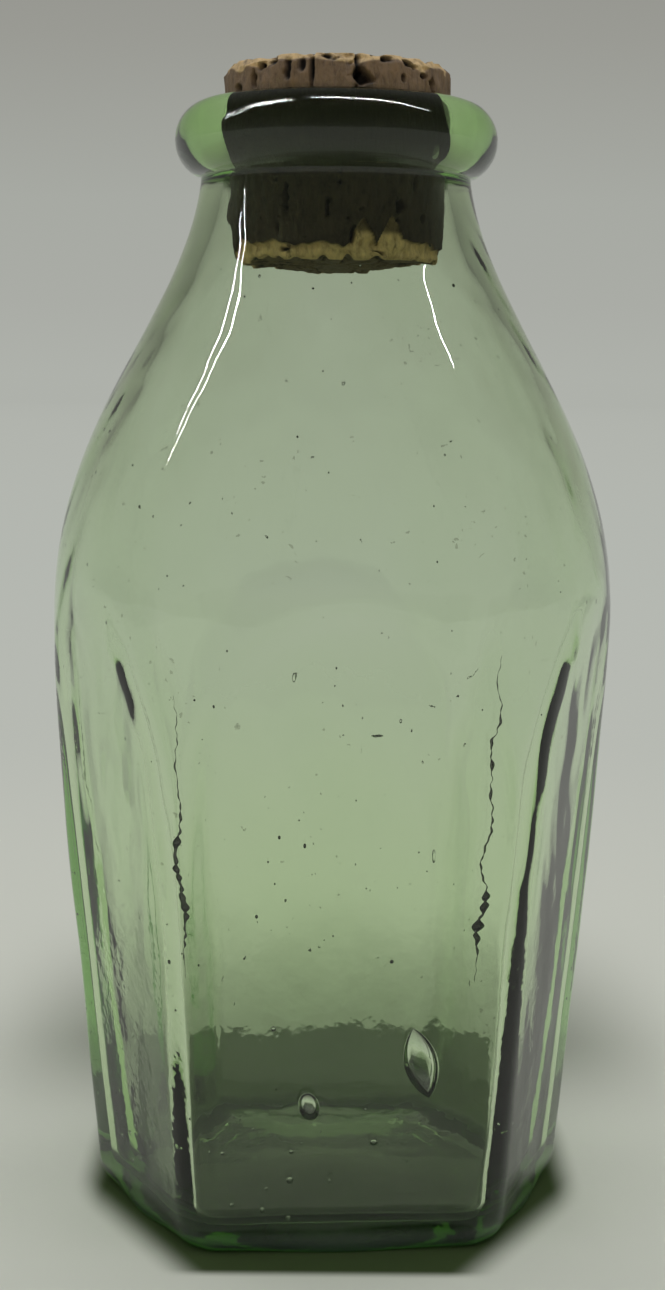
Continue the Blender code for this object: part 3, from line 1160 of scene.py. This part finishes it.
@dataclass(frozen=True)
class CorkFinish:
    """Dry cork: tan where broken, dark brown above the lip, with dark flecks, painted shade below the lip's
    top and near black painted shade in its pits.
    """

    broken: Colour = (0.60, 0.42, 0.20)
    worn: Colour = (0.19, 0.115, 0.055)
    # Dark flecks of the grain, and painted shade on the cork below the lip's top.
    fleck_and_lip_shade: Colour = (0.042, 0.027, 0.017)
    # Painted shade: near black by how deep a point lies in a pit, crack or hole, and in the band the lip
    # grips.
    hollow: Colour = (0.012, 0.007, 0.004)
    lip_shade_levels: Span = (114.0 * MM, 116.0 * MM)
    roughness: float = 0.85
    grain_per_metre: float = 1500.0
    grain_stretch: Factors = (1.0, 1.0, 0.45)
    grain_detail: float = 5.0
    grain_roughness: float = 0.65
    grain_tones: Stops = (
        (0.28, (0.45, 0.40, 0.36)),
        (0.48, (0.92, 0.92, 0.92)),
        (0.75, (1.25, 1.22, 1.15)),
    )
    flecks_per_metre: float = 520.0
    fleck_detail: float = 4.0
    fleck_roughness: float = 0.6
    fleck_range: Span = (0.60, 0.68)
    fleck_strength: float = 0.75
    pore_detail: float = 6.0
    pore_roughness: float = 0.7
    pore_depth: float = 0.35 * MM

    def colour(self, sheet: Sheet, place: Socket, lines: Socket) -> Socket:
        """Worn and freshly broken cork with its grain and dark flecks, painted shade below the lip's top, and
        near black painted shade in its pits.

        Args:
            sheet: Node tree of the cork.
            place: Output that gives the place.
            lines: The same, drawn out along the grain.

        Returns:
            Colour output.
        """
        # Painted shade: the cork darkens below the lip's top, where the lip shades it.
        above_lip_shade = sheet.rise(sheet.parts(place)["Z"], *self.lip_shade_levels, 0.0, 1.0)
        old = sheet.blend(above_lip_shade, self.fleck_and_lip_shade, self.worn)
        colour = sheet.blend(sheet.mark("fresh"), old, self.broken)
        grain = sheet.noise(lines, self.grain_per_metre, self.grain_detail, self.grain_roughness)
        colour = sheet.blend(1.0, colour, sheet.ramp(grain, self.grain_tones), "MULTIPLY")
        flecks = sheet.noise(lines, self.flecks_per_metre, self.fleck_detail, self.fleck_roughness)
        flecks = sheet.rise(flecks, *self.fleck_range, 0.0, self.fleck_strength)
        colour = sheet.blend(flecks, colour, self.fleck_and_lip_shade)
        # Painted shade in pits, cracks, holes and the gripped band.
        return sheet.blend(sheet.mark("hollow"), colour, self.hollow)

    def material(self) -> bpy.types.Material:
        """Make the cork material.

        Returns:
            The material.
        """
        made = bpy.data.materials.new("dry_cork")
        made.use_nodes = True
        sheet = Sheet(made.node_tree)
        place = sheet.place()
        lines = sheet.stretched(place, self.grain_stretch)
        surface = sheet.node("ShaderNodeBsdfPrincipled")
        surface.inputs["Roughness"].default_value = self.roughness
        sheet.join(self.colour(sheet, place, lines), surface.inputs["Base Color"])
        pores = sheet.noise(lines, self.grain_per_metre, self.pore_detail, self.pore_roughness)
        sheet.join(sheet.bump(pores, self.pore_depth), surface.inputs["Normal"])
        out = sheet.node("ShaderNodeOutputMaterial")
        sheet.join(surface.outputs["BSDF"], out.inputs["Surface"])
        return made


@dataclass(frozen=True)
class Pit:
    """Hollow in the cork's side: a pore, slot, crack or bite. Its turn is in degrees from the front."""

    turn: float
    level: float
    half_across: float
    half_up: float
    depth: float


def pit(turn: float, level: float, half_across: float, half_up: float, depth: float) -> Pit:
    """Pit from its turn in degrees, level in metres, and half width, half height and depth in mm."""
    return Pit(turn, level, half_across * MM, half_up * MM, depth * MM)


# Breaks of the crown: turn in degrees, then distance under the top, half width, half height and
# depth in millimetres.
CROWN_PITS = (
    (-12, 1.5, 0.30, 2.0, 1.10),
    (-17, 1.1, 0.45, 0.9, 0.80),
    (-24, 1.6, 0.35, 1.3, 0.70),
    (10, 0.9, 0.34, 1.4, 1.20),
    (13, 2.5, 0.85, 0.75, 1.50),
    (9, 2.0, 0.40, 0.9, 1.10),
    (24, 0.5, 0.70, 0.45, 0.90),
    (34, 2.2, 0.28, 0.55, 0.90),
    (38, 0.7, 0.60, 0.40, 0.80),
    (55, 2.5, 0.55, 0.85, 1.60),
    (47, 1.8, 0.60, 0.28, 0.80),
    (-45, 2.3, 0.45, 0.8, 1.30),
    (-41, 1.0, 0.50, 0.5, 0.90),
    (-57, 2.9, 0.70, 0.5, 0.80),
    (-33, 0.6, 0.60, 0.4, 0.70),
    (-5, 0.4, 0.70, 0.3, 0.60),
    (83, 1.9, 0.12, 2.2, 0.70),
)
# Breaks of the side: the same, with the height above the foot in the place of the distance under the top.
SIDE_PITS = (
    (-25, 6.3, 0.26, 1.7, 0.90),
    (-30, 9.0, 0.22, 1.2, 0.60),
    (-4, 5.2, 0.20, 1.1, 0.70),
    (-31, 3.0, 0.22, 0.6, 0.70),
    (2, 9.6, 0.16, 2.0, 0.60),
    (33, 5.4, 0.50, 0.9, 0.80),
    (48, 4.2, 0.28, 0.7, 0.80),
    (41, 7.6, 0.24, 1.0, 0.60),
    (9, 2.6, 0.45, 0.8, 1.00),
    (-28, 1.0, 0.80, 0.25, 0.60),
    (24, 0.6, 0.80, 0.35, 0.70),
)


@dataclass
class Cork:
    """The stopper: a tapered plug with pores, a chipped and cracked crown, and a torn foot.

    Angles are in degrees where the name doesn't say otherwise.
    """

    bottle: Bottle
    length: float = 20.1 * MM
    stand: float = 3.5 * MM
    seated_radius: float = 11.45 * MM
    taper: float = 0.45 * MM
    bulge: float = 0.45 * MM
    rim_bevel: float = 0.7 * MM
    toe_bevel: float = 0.3 * MM
    grip_start: float = 9.0 * MM
    grip_press: float = 0.04 * MM
    grip_softness: float = 0.6 * MM
    grip_end_softness: float = 0.3 * MM
    # Painted shade of the band the lip grips.
    grip_painted_shade: float = 0.85
    loose_turn: float = 83.0
    loose_half: float = 27.0
    loose_power: int = 16
    loose_depth: float = 0.2 * MM
    loose_relief: Ripples = Ripples(79, 2.2 * MM, 3.0)
    side_relief: tuple[Ripples, ...] = (
        Ripples(61, 4.5 * MM, 0.10 * MM, (1.0, 1.0, 1.5)),
        Ripples(62, 1.1 * MM, 0.035 * MM, (1.0, 1.0, 2.2)),
        Ripples(63, 1.4 * MM, 0.05 * MM, (1.0, 1.0, 9.0)),
    )
    side_depth: float = 0.12 * MM
    torn_height: float = 1.7 * MM
    torn_depth: float = 0.55 * MM
    torn_edge_relief: tuple[Ripples, ...] = (
        Ripples(71, 5.0 * MM, 0.30 * MM),
        Ripples(72, 1.1 * MM, 0.10 * MM),
    )
    torn_edge_softness: Span = (-0.05 * MM, 0.12 * MM)
    torn_relief: Ripples = Ripples(74, 1.6 * MM, 0.12 * MM)
    tears: tuple[Factors, ...] = (
        (14.0, 6.5, 2.4 * MM),
        (29.0, 7.0, 2.6 * MM),
        (-150.0, 18.0, 1.6 * MM),
        (120.0, 12.0, 1.2 * MM),
    )
    tear_power: float = 0.8
    rim_height: float = 0.75 * MM
    rim_softness: float = 0.25 * MM
    rim_edge_relief: Ripples = Ripples(73, 3.0 * MM, 0.28 * MM)
    rim_relief: Ripples = Ripples(75, 1.5 * MM, 0.22 * MM)
    rim_out: float = 0.05 * MM
    worn_turn: float = -88.0
    worn_half: float = 17.0
    worn_depth: float = 0.55 * MM
    worn_softness: float = 2.0 * MM
    knob_level: float = 5.2 * MM
    knob_half: float = 1.3 * MM
    pit_edge: Span = (0.45, 1.05)
    pit_relief: Ripples = Ripples(76, 0.9 * MM, 0.22)
    chip_relief: Ripples = Ripples(77, 2.2 * MM, 0.30 * MM)
    chip_drop: float = 0.10 * MM
    chip_lift: float = 0.12 * MM
    dent_relief: Ripples = Ripples(78, 2.4 * MM, 0.20 * MM)
    end_reach: float = 1.2 * MM
    torn_fade_levels: Span = (2.4 * MM, 3.0 * MM)
    torn_fade: float = 0.75
    foot_freshness: float = 0.20
    foot_seed: int = 81
    top_freshness: float = 0.45
    top_seed: int = 85
    face_middle_share: float = 0.02
    face_fade_power: int = 6
    crack_length: float = 5.0 * MM
    crack_stretch: Factors = (1.0, 3.0, 1.0)
    crack_edge: Span = (0.03, 0.16)
    crack_depth: float = 0.5 * MM
    # Painted shade in the cracks of the end faces.
    crack_painted_shade: float = 0.8
    hole_length: float = 1.8 * MM
    hole_edge: Span = (1.1, 1.7)
    hole_depth: float = 0.35 * MM
    # Painted shade in the holes of the end faces.
    hole_painted_shade: float = 0.7
    middle_mark: float = 0.3
    pore_count: int = 58
    pore_seed: int = 8
    pore_turns: Span = (62.0, 300.0)
    pore_levels_mm: Span = (0.6, 19.4)
    pore_half_heights_mm: Span = (0.4, 1.9)
    pore_half_widths_mm: Span = (0.14, 0.45)
    pore_depths_mm: Span = (0.4, 1.1)
    ring_points: int = 480
    side_rows: int = 190
    face_rows: int = 26

    @property
    def seat_top(self) -> float:
        """Height above the foot up to which the cork is inside the bore."""
        return self.length - self.stand - self.bottle.lip_fall

    def pits(self) -> list[Pit]:
        """Named breaks of the crown and side, and pores spread over the rest.

        Returns:
            The pits. Levels are above the cork's foot.
        """
        made = [pit(turn, self.length - under * MM, *size) for turn, under, *size in CROWN_PITS]
        made += [pit(turn, level * MM, *size) for turn, level, *size in SIDE_PITS]
        rng = np.random.default_rng(self.pore_seed)
        for _ in range(self.pore_count):
            turn = float(rng.uniform(*self.pore_turns))
            level = float(rng.uniform(*self.pore_levels_mm)) * MM
            half_up = float(rng.uniform(*self.pore_half_heights_mm))
            half_across = float(rng.uniform(*self.pore_half_widths_mm))
            made.append(pit(turn, level, half_across, half_up, float(rng.uniform(*self.pore_depths_mm))))
        return made

    def profile(self, levels: np.ndarray) -> np.ndarray:
        """Radius of the smooth plug: tapered, pressed out where the lip grips it, and bulged over the mouth.

        Args:
            levels: Heights above the foot.

        Returns:
            Radii in metres.
        """
        foot = self.seated_radius - self.taper
        crown = self.seated_radius + self.bulge
        grip = self.bottle.bore_radius + self.grip_press
        stops = (
            (0.0, foot - self.toe_bevel),
            (self.toe_bevel, foot),
            (self.grip_start, self.seated_radius),
            (self.grip_start + self.grip_softness, grip),
            (self.seat_top, grip),
            (self.length - self.stand + self.bulge, crown),
            (self.length - self.rim_bevel, crown),
            (self.length, crown - self.rim_bevel),
        )
        return np.interp(levels, *zip(*stops))

    def torn_edge(self, turn: np.ndarray) -> np.ndarray:
        """Height above the foot up to which the cork's skin is torn away.

        Args:
            turn: Angles from the front, in radians.

        Returns:
            Heights in metres.
        """
        ring = np.stack([np.sin(turn), -np.cos(turn), turn * 0.0], axis=-1) * self.seated_radius
        edge = self.torn_height + sum(relief.at(ring) for relief in self.torn_edge_relief)
        degrees = np.degrees(turn)
        for middle, half, height in self.tears:
            edge += height * np.clip(1.0 - np.abs(degrees - middle) / half, 0.0, 1.0) ** self.tear_power
        return edge

    def worn_away(self, degrees: np.ndarray, level: np.ndarray) -> np.ndarray:
        """Depth of the hollow worn in the left side, above and below a knob that is left of the old surface.

        Args:
            degrees: Angles from the front.
            level: Heights above the foot.

        Returns:
            Depths in metres.
        """
        across = np.exp(-(((degrees - self.worn_turn) / self.worn_half) ** 2))
        across = across * smooth_step(self.seat_top - level, 0.0, self.worn_softness)
        knob = np.exp(-((level - self.knob_level) / self.knob_half) ** 4)
        return across * (1.0 - knob) * self.worn_depth

    def pitted(self, degrees: np.ndarray, level: np.ndarray, radius: np.ndarray, ragged: np.ndarray) -> Ring:
        """Depth and painted shade that the pits give the side.

        Args:
            degrees: Angles from the front.
            level: Heights above the foot.
            radius: Radii in metres.
            ragged: Factor that makes the pits' edges uneven.

        Returns:
            Summed depths in metres, and how deep in a pit each point is, from 0 to 1, which sets its painted
            shade.
        """
        depth = np.zeros_like(radius)
        hollow = np.zeros_like(radius)
        for each in self.pits():
            bend = (degrees - each.turn + 180.0) % 360.0 - 180.0
            across = np.radians(bend) * radius / each.half_across
            up = (level - each.level) / each.half_up
            inside = 1.0 - smooth_step(np.hypot(across, up) * ragged, *self.pit_edge)
            depth += inside * each.depth
            hollow = np.maximum(hollow, inside)
        return depth, hollow

    def rows(self) -> tuple[np.ndarray, np.ndarray, np.ndarray]:
        """Rings from the middle of the foot, up the side, to the middle of the top.

        Returns:
            The rings' points, how freshly broken each point is, and how much painted shade it takes from pits
            and from the lip's grip.
        """
        turn = np.linspace(-math.pi, math.pi, self.ring_points, endpoint=False)
        degrees = np.degrees(turn)
        levels = np.linspace(0.0, self.length, self.side_rows)
        level = levels[:, None] + turn * 0.0
        radius = self.profile(levels)[:, None] + turn * 0.0
        places = np.stack([radius * np.sin(turn), -radius * np.cos(turn), level], axis=-1)
        inward = np.minimum(sum(relief.at(places) for relief in self.side_relief) - self.side_depth, 0.0)
        torn = smooth_step(self.torn_edge(turn) - level, *self.torn_edge_softness)
        rim_edge = self.rim_height + self.rim_edge_relief.at(places)
        rim = smooth_step(level - (self.length - rim_edge), 0.0, self.rim_softness)
        inward -= torn * (self.torn_depth + self.torn_relief.at(places))
        inward -= rim * np.maximum(self.rim_relief.at(places), -self.rim_out)
        inward -= self.worn_away(degrees, level)
        depth, hollow = self.pitted(degrees, level, radius, 1.0 + self.pit_relief.at(places))
        inward -= depth
        ragged = np.abs(degrees + self.loose_relief.at(places))
        loose = np.exp(-(((ragged - self.loose_turn) / self.loose_half) ** self.loose_power))
        gripped = smooth_step(level, self.grip_start, self.grip_start + self.grip_softness)
        under_seat_end = self.seat_top + self.grip_end_softness - level
        gripped = gripped * smooth_step(under_seat_end, 0.0, self.grip_end_softness)
        gripped = gripped * (1.0 - loose)
        radius = radius + inward * (1.0 - gripped) - loose * self.loose_depth * (level > self.grip_start)
        # Painted shade: the band inside the lip's grip is darkened like a deep pit.
        hollow = np.maximum(hollow, gripped * self.grip_painted_shade)
        chips = np.maximum(self.chip_relief.at(places), -self.chip_drop) + self.chip_lift
        level = level + chips * (1.0 - smooth_step(level, 0.0, self.end_reach))
        dents = np.maximum(self.dent_relief.at(places), 0.0)
        level = level - dents * smooth_step(level, self.length - self.end_reach, self.length)
        torn = torn * (1.0 - smooth_step(level, *self.torn_fade_levels) * self.torn_fade)
        side = np.stack([radius * np.sin(turn), -radius * np.cos(turn), level], axis=-1)
        foot, foot_fresh, foot_hollow = self.face(side[0], self.foot_freshness, self.foot_seed)
        top, top_fresh, top_hollow = self.face(side[-1], self.top_freshness, self.top_seed)
        points = np.concatenate([foot[::-1], side, top])
        fresh = np.concatenate([foot_fresh[::-1], np.clip(torn + rim, 0.0, 1.0), top_fresh])
        hollow = np.concatenate([foot_hollow[::-1], hollow, top_hollow])
        points[..., 2] += self.bottle.height + self.stand - self.length
        return points, fresh, hollow

    def face(
        self, edge: np.ndarray, freshness: float, seed: int
    ) -> tuple[np.ndarray, np.ndarray, np.ndarray]:
        """Rings from an end's edge to near its middle, with cracks and small holes.

        Args:
            edge: Ring of points at the edge.
            freshness: How pale the face is.
            seed: Seed of its relief.

        Returns:
            The rings' points, how freshly broken each point is, and how much painted shade it takes in cracks
            and holes.
        """
        shares = np.linspace(1.0, self.face_middle_share, self.face_rows + 1)[1:]
        middle = edge.mean(axis=0)
        points = middle + (edge - middle) * shares[:, None, None]
        inward = 1.0 if middle[2] < self.length / 2 else -1.0
        cracks = np.abs(Ripples(seed, self.crack_length, 1.0, self.crack_stretch).at(points))
        crack = 1.0 - smooth_step(cracks, *self.crack_edge)
        hole = smooth_step(Ripples(seed + 1, self.hole_length, 1.0).at(points), *self.hole_edge)
        relief = crack * self.crack_depth + hole * self.hole_depth
        points[..., 2] += inward * relief * (1.0 - shares[:, None] ** self.face_fade_power)
        # Painted shade in the cracks and holes.
        hollow = np.clip(crack * self.crack_painted_shade + hole * self.hole_painted_shade, 0.0, 1.0)
        return points, freshness * (1.0 - hollow), hollow

    def build(self, finish: CorkFinish) -> bpy.types.Object:
        """Make the cork and put it in the place of its solid.

        Args:
            finish: The cork's finish.

        Returns:
            The cork object.
        """
        points, fresh, hollow = self.rows()
        skin = Skin()
        skin.add_rows(points, points[0].mean(axis=0), points[-1].mean(axis=0))
        piece = skin.build("cork", finish.material())
        middles = [self.middle_mark, self.middle_mark]
        mark_points(piece, "fresh", np.append(fresh, middles))
        mark_points(piece, "hollow", np.append(hollow, middles))
        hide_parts("cork_stopper")
        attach(piece, Body.CORK.value)
        return piece


@dataclass(frozen=True)
class Strip:
    """Long narrow lamp overhead, from left to right."""

    depth: float
    start: float
    end: float
    watts_per_metre: float
    colour: Colour = (1.0, 1.0, 1.0)


@dataclass
class Studio:
    """Pale table, soft grey surroundings, light strips overhead and the camera."""

    camera_distance: float = 218.7 * MM
    camera_height: float = 87.2 * MM
    camera_pitch: float = math.radians(7.4)
    camera_roll: float = math.radians(0.45)
    camera_reach_px: float = 2070.0
    camera_clip: float = 10.0 * MM
    sensor: float = 36.0
    backdrop_tones: Stops = (
        (0.0, (0.425, 0.440, 0.405)),
        (0.035, (0.402, 0.413, 0.381)),
        (0.082, (0.386, 0.399, 0.366)),
        (0.155, (0.323, 0.325, 0.296)),
        (0.34, (0.20, 0.20, 0.185)),
        (0.6, (0.10, 0.10, 0.095)),
        (1.0, (0.14, 0.14, 0.135)),
    )
    room_share: float = 0.35
    room_range: Span = (-0.1, 0.6)
    sky_tones: Stops = (
        (0.0, (0.45, 0.45, 0.43)),
        (0.5, (1.0, 1.0, 0.97)),
        (1.0, (1.5, 1.5, 1.46)),
    )
    sky_strength: float = 0.73
    first_bounce: float = 0.5
    table_radius: float = 6.0
    table_points: int = 96
    table_drop: float = 0.02 * MM
    table_tones: Stops = (
        (0.0, (0.480, 0.495, 0.452)),
        (0.13, (0.456, 0.475, 0.437)),
        (0.35, (0.445, 0.461, 0.424)),
        (1.0, (0.428, 0.443, 0.408)),
    )
    even_range: Span = (70.0 * MM, 300.0 * MM)
    paper: Colour = (0.62, 0.635, 0.585)
    # Painted shadow: the paper is multiplied by this green grey under the bottle and right behind it, within
    # the bounds below; a softer painted shadow reaches farther behind.
    shade: Colour = (0.07, 0.10, 0.045)
    shade_across: float = 26.0 * MM
    shade_front: float = -25.6 * MM
    shade_back: float = 50.5 * MM
    shade_side: float = 25.0 * MM
    shade_side_turn: float = math.radians(60.0)
    across_softness: float = 2.0 * MM
    front_softness: float = 1.0 * MM
    back_softness: float = 2.5 * MM
    side_softness: float = 2.4 * MM
    behind_share: float = 0.62
    behind_rise: Span = (10.0 * MM, 50.5 * MM)
    behind_fall: Span = (40.5 * MM, 120.0 * MM)
    behind_across: Span = (26.0 * MM, 52.0 * MM)
    strip_height: float = 280.0 * MM
    strip_width: float = 1.6 * MM
    strips: tuple[Strip, ...] = (
        Strip(-50.0 * MM, -420.0 * MM, -190.0 * MM, 0.5, (0.93, 1.0, 0.90)),
        Strip(-50.0 * MM, -190.0 * MM, -60.0 * MM, 1.4, (0.93, 1.0, 0.90)),
        Strip(-30.0 * MM, -330.0 * MM, -150.0 * MM, 0.5, (1.0, 0.93, 1.0)),
        Strip(-30.0 * MM, -150.0 * MM, -60.0 * MM, 1.2, (1.0, 0.93, 1.0)),
        Strip(-42.0 * MM, -38.0 * MM, 130.0 * MM, 1.6),
        Strip(-42.0 * MM, 130.0 * MM, 215.0 * MM, 0.6),
    )

    def build(self) -> None:
        """Set up the world, table, lamps, camera and view transform."""
        self.world()
        self.table()
        self.lamps()
        self.camera()
        bpy.context.scene.view_settings.view_transform = "Standard"

    def world(self) -> None:
        """Grey backdrop that darkens upwards and in front, and a soft sky that lights diffuse surfaces."""
        world = bpy.data.worlds.new("surroundings")
        bpy.context.scene.world = world
        world.use_nodes = True
        sheet = Sheet(world.node_tree)
        way = sheet.parts(sheet.node("ShaderNodeTexCoord").outputs["Generated"])
        room = sheet.rise(way["Y"], *self.room_range, self.room_share, 1.0)
        backdrop = sheet.blend(1.0, sheet.ramp(way["Z"], self.backdrop_tones), room, "MULTIPLY")
        sky = sheet.ramp(way["Z"], self.sky_tones)
        bounces = sheet.node("ShaderNodeLightPath").outputs["Diffuse Depth"]
        seen = sheet.math("MULTIPLY", sheet.seen(), sheet.math("LESS_THAN", bounces, self.first_bounce))
        background = sheet.node("ShaderNodeBackground")
        sheet.join(sheet.blend(seen, sky, backdrop), background.inputs["Color"])
        sheet.join(sheet.rise(seen, 0.0, 1.0, self.sky_strength, 1.0), background.inputs["Strength"])
        out = sheet.node("ShaderNodeOutputWorld")
        sheet.join(background.outputs["Background"], out.inputs["Surface"])

    def paper_finish(self) -> bpy.types.Material:
        """Table paper, with a painted shadow under and right behind the bottle. It also keeps the bottle's
        real shadow nearby, and is an even backdrop farther off.

        Returns:
            The material.
        """
        made = bpy.data.materials.new("table_paper")
        made.use_nodes = True
        sheet = Sheet(made.node_tree)
        place = sheet.place()
        parts = sheet.parts(place)
        away = sheet.node("ShaderNodeVectorMath", operation="LENGTH")
        sheet.join(place, away.inputs[0])
        distance = away.outputs["Value"]
        surface = sheet.node("ShaderNodeBsdfDiffuse")
        # Painted shadow: a darker, greener paper under and right behind the bottle.
        shaded = tuple(paper * share for paper, share in zip(self.paper, self.shade))
        under = self.painted_shadow_under_bottle(sheet, parts["X"], parts["Y"])
        sheet.join(sheet.blend(under, self.paper, shaded), surface.inputs["Color"])
        glow = sheet.node("ShaderNodeEmission")
        tone = sheet.ramp(sheet.math("DIVIDE", distance, self.table_radius), self.table_tones)
        sheet.join(tone, glow.inputs["Color"])
        mix = sheet.node("ShaderNodeMixShader")
        far = sheet.rise(distance, *self.even_range, 0.0, 1.0)
        sheet.join(sheet.math("MULTIPLY", far, sheet.seen()), mix.inputs["Fac"])
        sheet.join(surface.outputs["BSDF"], mix.inputs[1])
        sheet.join(glow.outputs["Emission"], mix.inputs[2])
        out = sheet.node("ShaderNodeOutputMaterial")
        sheet.join(mix.outputs["Shader"], out.inputs["Surface"])
        return made

    def table(self) -> None:
        """Large round table just under the bottle."""
        rim = []
        for angle in np.linspace(0.0, TURN, self.table_points, endpoint=False):
            across = self.table_radius * math.cos(angle)
            along = self.table_radius * math.sin(angle)
            rim.append((across, along, -self.table_drop))
        mesh = bpy.data.meshes.new("table")
        mesh.from_pydata(rim, [], [tuple(range(len(rim)))])
        mesh.materials.append(self.paper_finish())
        table = bpy.data.objects.new("table", mesh)
        bpy.context.scene.collection.objects.link(table)

    def painted_shadow_under_bottle(self, sheet: Sheet, across: Socket, along: Socket) -> Socket:
        """Painted shadow: the part of the table under the bottle and right behind it, where the paper is
        darkened to a green grey, and a softer painted shadow farther behind.

        Args:
            sheet: Node tree of the table.
            across: Output with the place to the right of the axis.
            along: Output with the place behind the axis.

        Returns:
            Output that is 1 there and 0 round it.
        """
        across = sheet.math("ABSOLUTE", across)
        slope = sheet.math("MULTIPLY", across, math.sin(self.shade_side_turn))
        slope = sheet.math("SUBTRACT", slope, sheet.math("MULTIPLY", along, math.cos(self.shade_side_turn)))
        inside = 1.0
        for value, edge, softness, first, last in (
            (across, self.shade_across, self.across_softness, 1.0, 0.0),
            (along, self.shade_front, self.front_softness, 0.0, 1.0),
            (along, self.shade_back, self.back_softness, 1.0, 0.0),
            (slope, self.shade_side, self.side_softness, 1.0, 0.0),
        ):
            step = sheet.rise(value, edge - softness, edge + softness, first, last)
            inside = sheet.math("MULTIPLY", inside, step)
        # Softer painted shadow, farther behind the bottle.
        behind = sheet.rise(along, *self.behind_fall, self.behind_share, 0.0)
        behind = sheet.math("MULTIPLY", behind, sheet.rise(along, *self.behind_rise, 0.0, 1.0))
        behind = sheet.math("MULTIPLY", behind, sheet.rise(across, *self.behind_across, 1.0, 0.0))
        return sheet.math("MAXIMUM", inside, behind)

    def lamps(self) -> None:
        """Light strips overhead. They glint on the glass; the sky lights the table."""
        for number, strip in enumerate(self.strips):
            name = f"light_strip_{number}"
            data = bpy.data.lights.new(name, "AREA")
            data.shape = "RECTANGLE"
            data.size = strip.end - strip.start
            data.size_y = self.strip_width
            data.energy = strip.watts_per_metre * data.size
            data.color = strip.colour
            lamp = bpy.data.objects.new(name, data)
            bpy.context.scene.collection.objects.link(lamp)
            lamp.location = ((strip.start + strip.end) / 2, strip.depth, self.strip_height)
            lamp.visible_transmission = False
            lamp.visible_diffuse = False

    def camera(self) -> None:
        """Camera at the photograph's place, with its roll."""
        data = bpy.data.cameras.new("camera")
        data.sensor_width = self.sensor
        data.lens = self.sensor * self.camera_reach_px / PHOTO_HEIGHT_PX
        data.clip_start = self.camera_clip
        camera = bpy.data.objects.new("camera", data)
        bpy.context.scene.collection.objects.link(camera)
        camera.location = (0.0, -self.camera_distance, self.camera_height)
        look = Euler((QUARTER - self.camera_pitch, 0.0, 0.0)).to_matrix()
        roll = Euler((0.0, 0.0, self.camera_roll)).to_matrix()
        camera.rotation_euler = (look @ roll).to_euler()
        bpy.context.scene.camera = camera


def main() -> None:
    """Build the bottle, its cork and the studio."""
    logging.basicConfig(level=logging.INFO, format="%(message)s")
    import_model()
    bottle = Bottle()
    glass = bottle.build(GlassFinish())
    log.info("%s: %d faces", glass.name, len(glass.data.polygons))
    cork = Cork(bottle).build(CorkFinish())
    log.info("%s: %d faces", cork.name, len(cork.data.polygons))
    Studio().build()
    log.info("table, %d light strips and camera set up", len(Studio.strips))


if __name__ == "__main__":
    main()
